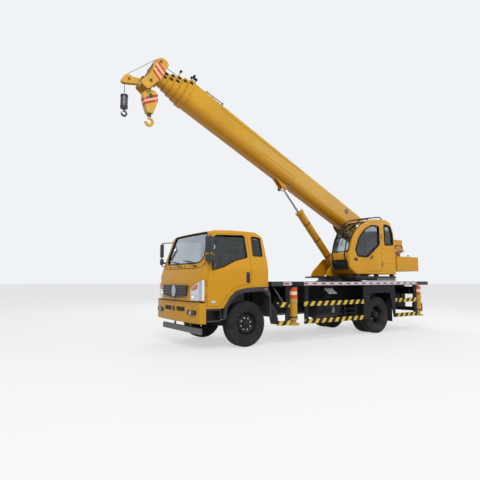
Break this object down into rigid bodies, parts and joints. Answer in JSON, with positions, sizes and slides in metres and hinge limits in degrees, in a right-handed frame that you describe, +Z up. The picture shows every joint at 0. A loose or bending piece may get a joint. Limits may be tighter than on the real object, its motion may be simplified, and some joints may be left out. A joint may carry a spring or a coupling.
{
  "type": "truck-mounted telescopic crane",
  "caption": "Two-axle truck crane with a raised telescopic boom, slewing operator's cab, outriggers and hanging hook blocks.",
  "frame": {"origin": "on the ground, at the middle of the overall length and width", "axes": "+X to the rear, +Y to the right-hand side, +Z up"},
  "size_m": [9.5287, 2.7, 6.6273],
  "materials": {
    "body_yellow": "gloss paint",
    "boom_yellow": "gloss paint",
    "chassis_black": "satin paint",
    "deck_grey": "worn satin paint",
    "steel": "machined",
    "rod_chrome": "polished",
    "tyre": "matt",
    "rim": "satin paint",
    "glass": "clear",
    "interior": "matt",
    "black_plastic": "matt",
    "lamp": "clear lens over chrome",
    "guard_yellow": "yellow and black stripes"
  },
  "bodies": {
    "carrier": {"chassis_frame": "chassis_black", "underrun_bar": "deck_grey", "deck": "deck_grey", "outrigger_boxes": "chassis_black", "side_guards": "guard_yellow", "engine": "chassis_black", "tanks": "chassis_black", "front_axle": "chassis_black", "rear_axle": "chassis_black", "prop_shaft": "chassis_black", "rear_bar": "chassis_black", "cab_shell": "body_yellow", "cab_glass": "glass", "cab_interior": "interior", "grille": "black_plastic", "headlamps": "lamp", "bumper": "body_yellow", "mirrors": "black_plastic", "cab_steps": "black_plastic"},
    "turret": {"slew_ring": "chassis_black", "turret_frame": "body_yellow", "counterweight": "body_yellow", "winches": "body_yellow", "operator_cab": "body_yellow", "operator_cab_glass": "glass", "operator_seat": "interior"},
    "operator_door": {"operator_door": "body_yellow", "operator_door_glass": "glass"},
    "boom_base": {"boom_base": "boom_yellow"},
    "boom_section_2": {"boom_section_2": "boom_yellow"},
    "boom_section_3": {"boom_section_3": "boom_yellow"},
    "boom_section_4": {"boom_section_4": "boom_yellow"},
    "boom_section_5": {"boom_section_5": "boom_yellow", "boom_head": "boom_yellow"},
    "luff_rod": {"luff_rod": "rod_chrome"},
    "luff_barrel": {"luff_barrel": "boom_yellow"},
    "hook_block": {"hook_block": "boom_yellow"},
    "aux_hook": {"aux_hook": "steel"},
    "door_left": {"door_left": "body_yellow", "door_glass_left": "glass"},
    "knuckle_left": {"knuckle_left": "chassis_black"},
    "wheel_front_left": {"tyre_front_left": "tyre", "rim_front_left": "rim"},
    "wheel_rear_left": {"tyre_rear_left": "tyre", "rim_rear_left": "rim"},
    "door_right": {"door_right": "body_yellow", "door_glass_right": "glass"},
    "knuckle_right": {"knuckle_right": "chassis_black"},
    "wheel_front_right": {"tyre_front_right": "tyre", "rim_front_right": "rim"},
    "wheel_rear_right": {"tyre_rear_right": "tyre", "rim_rear_right": "rim"},
    "outrigger_front_left": {"outrigger_beam_front_left": "body_yellow"},
    "jack_front_left": {"jack_leg_front_left": "body_yellow"},
    "outrigger_front_right": {"outrigger_beam_front_right": "body_yellow"},
    "jack_front_right": {"jack_leg_front_right": "body_yellow"},
    "outrigger_rear_left": {"outrigger_beam_rear_left": "body_yellow"},
    "jack_rear_left": {"jack_leg_rear_left": "body_yellow"},
    "outrigger_rear_right": {"outrigger_beam_rear_right": "body_yellow"},
    "jack_rear_right": {"jack_leg_rear_right": "body_yellow"}
  },
  "joints": [
    {"name": "door_left_hinge", "type": "hinge", "parent": "carrier", "child": "door_left", "pos_m": [-3.15958, -1.144, 1.7], "axis": [0, 0, -1], "range_deg": [0, 65]},
    {"name": "steer_left", "type": "hinge", "parent": "carrier", "child": "knuckle_left", "pos_m": [-2.11258, -0.77, 0.509], "axis": [0, 0, 1], "range_deg": [-35, 35]},
    {"name": "roll_front_left", "type": "hinge", "parent": "knuckle_left", "child": "wheel_front_left", "pos_m": [-2.11258, -0.98, 0.509], "axis": [0, 1, 0], "continuous": true},
    {"name": "roll_rear_left", "type": "hinge", "parent": "carrier", "child": "wheel_rear_left", "pos_m": [2.38742, -0.98, 0.509], "axis": [0, 1, 0], "continuous": true},
    {"name": "door_right_hinge", "type": "hinge", "parent": "carrier", "child": "door_right", "pos_m": [-3.15958, 1.144, 1.7], "axis": [0, 0, 1], "range_deg": [0, 65]},
    {"name": "steer_right", "type": "hinge", "parent": "carrier", "child": "knuckle_right", "pos_m": [-2.11258, 0.77, 0.509], "axis": [0, 0, 1], "range_deg": [-35, 35]},
    {"name": "roll_front_right", "type": "hinge", "parent": "knuckle_right", "child": "wheel_front_right", "pos_m": [-2.11258, 0.98, 0.509], "axis": [0, 1, 0], "continuous": true},
    {"name": "roll_rear_right", "type": "hinge", "parent": "carrier", "child": "wheel_rear_right", "pos_m": [2.38742, 0.98, 0.509], "axis": [0, 1, 0], "continuous": true},
    {"name": "slew", "type": "hinge", "parent": "carrier", "child": "turret", "pos_m": [2.03742, 0, 1.5], "axis": [0, 0, 1], "continuous": true},
    {"name": "operator_door_hinge", "type": "hinge", "parent": "turret", "child": "operator_door", "pos_m": [2.61442, -1.162, 2.35], "axis": [0, 0, 1], "range_deg": [0, 100]},
    {"name": "luff", "type": "hinge", "parent": "turret", "child": "boom_base", "pos_m": [3.28742, 0, 2.6], "axis": [0, 1, 0], "range_deg": [-21.5, 50.5]},
    {"name": "telescope_2", "type": "slide", "parent": "boom_base", "child": "boom_section_2", "axis": [-0.9026, 0, 0.4305], "range_m": [0, 5.2]},
    {"name": "telescope_3", "type": "slide", "parent": "boom_section_2", "child": "boom_section_3", "axis": [-0.9026, 0, 0.4305], "range_m": [0, 5.2]},
    {"name": "telescope_4", "type": "slide", "parent": "boom_section_3", "child": "boom_section_4", "axis": [-0.9026, 0, 0.4305], "range_m": [0, 5.2]},
    {"name": "telescope_5", "type": "slide", "parent": "boom_section_4", "child": "boom_section_5", "axis": [-0.9026, 0, 0.4305], "range_m": [0, 5.2]},
    {"name": "luff_rod_pivot", "type": "hinge", "parent": "boom_base", "child": "luff_rod", "pos_m": [-0.09299, 0, 4.05616], "axis": [0, 1, 0], "range_deg": [-1.11, 0.53]},
    {"name": "luff_stroke", "type": "slide", "parent": "luff_rod", "child": "luff_barrel", "axis": [0.6722, 0, -0.7403], "range_m": [-0.5504, 1.2792]},
    {"name": "hook_block_swing", "type": "hinge", "parent": "boom_section_5", "child": "hook_block", "pos_m": [-4.08258, 0, 5.88313], "axis": [0, -1, 0], "range_deg": [-10, 35]},
    {"name": "aux_hook_swing", "type": "hinge", "parent": "boom_section_5", "child": "aux_hook", "pos_m": [-4.67258, 0, 5.87961], "axis": [0, -1, 0], "range_deg": [-35, 10]},
    {"name": "extend_front_left", "type": "slide", "parent": "carrier", "child": "outrigger_front_left", "axis": [0, -1, 0], "range_m": [0, 1.25]},
    {"name": "lower_front_left", "type": "slide", "parent": "outrigger_front_left", "child": "jack_front_left", "axis": [0, 0, -1], "range_m": [0, 0.4]},
    {"name": "extend_front_right", "type": "slide", "parent": "carrier", "child": "outrigger_front_right", "axis": [0, 1, 0], "range_m": [0, 1.25]},
    {"name": "lower_front_right", "type": "slide", "parent": "outrigger_front_right", "child": "jack_front_right", "axis": [0, 0, -1], "range_m": [0, 0.4]},
    {"name": "extend_rear_left", "type": "slide", "parent": "carrier", "child": "outrigger_rear_left", "axis": [0, -1, 0], "range_m": [0, 1.25]},
    {"name": "lower_rear_left", "type": "slide", "parent": "outrigger_rear_left", "child": "jack_rear_left", "axis": [0, 0, -1], "range_m": [0, 0.4]},
    {"name": "extend_rear_right", "type": "slide", "parent": "carrier", "child": "outrigger_rear_right", "axis": [0, 1, 0], "range_m": [0, 1.25]},
    {"name": "lower_rear_right", "type": "slide", "parent": "outrigger_rear_right", "child": "jack_rear_right", "axis": [0, 0, -1], "range_m": [0, 0.4]}
  ],
  "couplings": [
    {"joint": "steer_right", "follows": "steer_left", "ratio": 1},
    {"joint": "telescope_4", "follows": "telescope_3", "ratio": 1},
    {"joint": "telescope_5", "follows": "telescope_3", "ratio": 1},
    {"joint": "luff_rod_pivot", "follows": "luff", "ratio": -0.02},
    {"joint": "luff_stroke", "follows": "luff", "m_per_rad": 1.44}
  ]
}
